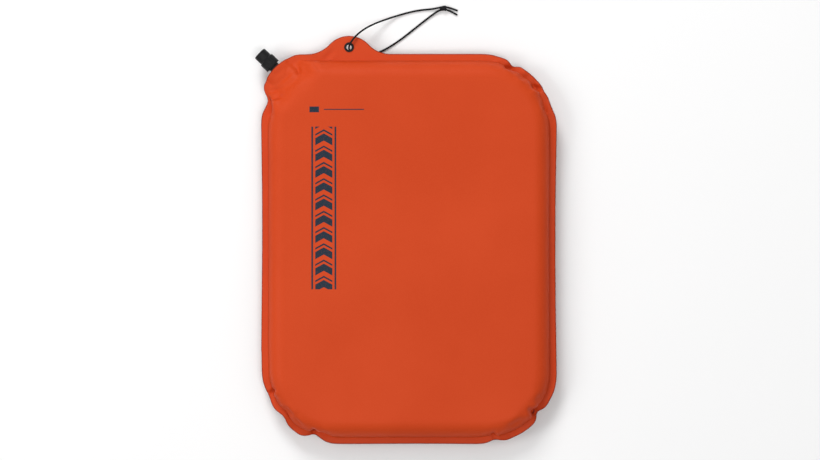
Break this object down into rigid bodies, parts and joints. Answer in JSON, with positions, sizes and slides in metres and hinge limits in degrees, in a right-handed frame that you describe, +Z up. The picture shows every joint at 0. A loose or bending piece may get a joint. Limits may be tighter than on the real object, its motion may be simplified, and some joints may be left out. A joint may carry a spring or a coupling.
{
  "type": "self-inflating foam seat pad",
  "caption": "Rectangular foam pad in two welded fabric sheets, with rounded corners, a twist valve at one corner and an elastic cord looped through a grommeted tab.",
  "frame": {"origin": "middle of the underside, on the surface that the pad lies on", "axes": "+Z up, +Y along the pad towards the grommeted tab, +X across it, with the valve at the -X +Y corner"},
  "size_m": [0.317, 0.4623, 0.038],
  "materials": {
    "cover_fabric": "fine plain weave, satin, coated inside, with a dark printed motif",
    "base_fabric": "fine plain weave, matte, with a grippy coating",
    "foam": "open-cell polyurethane foam",
    "valve_nylon": "moulded, fine texture",
    "cap_nylon": "moulded, satin, ribbed",
    "seal_rubber": "smooth",
    "grommet_enamel": "black enamel on brass",
    "cord_braid": "braided cover over an elastic core"
  },
  "bodies": {
    "pad": {"top_cover": "cover_fabric", "bottom_cover": "base_fabric", "foam_core": "foam", "valve_stem": "valve_nylon", "valve_plug": "valve_nylon", "stem_seal_ring": "seal_rubber", "grommet_eyelet": "grommet_enamel", "grommet_washer": "grommet_enamel", "cord_front_strand": "cord_braid", "cord_back_strand": "cord_braid", "cord_knot": "cord_braid", "cord_tail_left": "cord_braid", "cord_tail_right": "cord_braid"},
    "cap_carriage": {"cap_seal_ring": "seal_rubber"},
    "cap": {"valve_cap": "cap_nylon"}
  },
  "joints": [
    {"name": "cap_travel", "type": "slide", "parent": "pad", "child": "cap_carriage", "axis": [-0.729, 0.6845, 0], "range_m": [0, 0.003]},
    {"name": "cap_turn", "type": "hinge", "parent": "cap_carriage", "child": "cap", "pos_m": [-0.14997, 0.19891, 0.019], "axis": [-0.729, 0.6845, 0], "range_deg": [0, 270]}
  ],
  "couplings": [
    {"joint": "cap_turn", "follows": "cap_travel", "rad_per_m": 1570.8}
  ]
}
